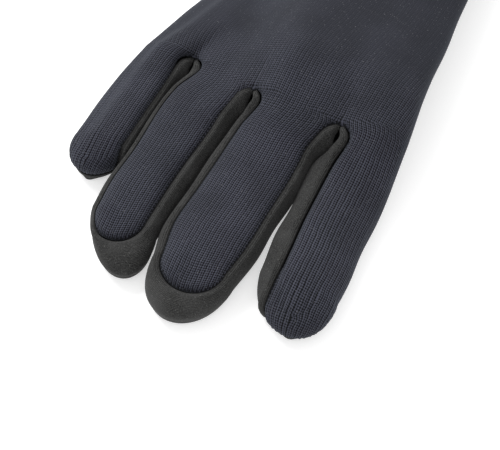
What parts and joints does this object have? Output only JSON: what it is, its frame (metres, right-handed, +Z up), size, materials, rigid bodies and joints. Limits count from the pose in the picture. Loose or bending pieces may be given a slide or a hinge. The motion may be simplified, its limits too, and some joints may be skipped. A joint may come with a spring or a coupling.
{
  "type": "waterproof glove",
  "caption": "Right-hand waterproof glove with a ribbed navy knit back, smooth black finger side walls and palm, a thumb folded under the palm and an open hemmed cuff; keeps a hand dry.",
  "frame": {"origin": "middle of the bounding box at the surface that the glove lies on", "axes": "+Z up, out of the back of the hand; +Y towards the cuff, so the fingers point along -Y; +X towards the index finger"},
  "size_m": [0.1078, 0.258, 0.0308],
  "materials": {
    "rib_knit": "matt fine-rib knit, dark navy with paler fibre specks",
    "smooth_knit": "matt smooth fine knit, black, slightly linty"
  },
  "bodies": {
    "root": {"back_panel": "rib_knit", "palm_panel": "smooth_knit", "little_sidewall": "smooth_knit", "ring_sidewall": "smooth_knit", "middle_sidewall": "smooth_knit", "index_sidewall": "smooth_knit", "thumb": "smooth_knit", "cuff_band": "smooth_knit"}
  },
  "joints": []
}
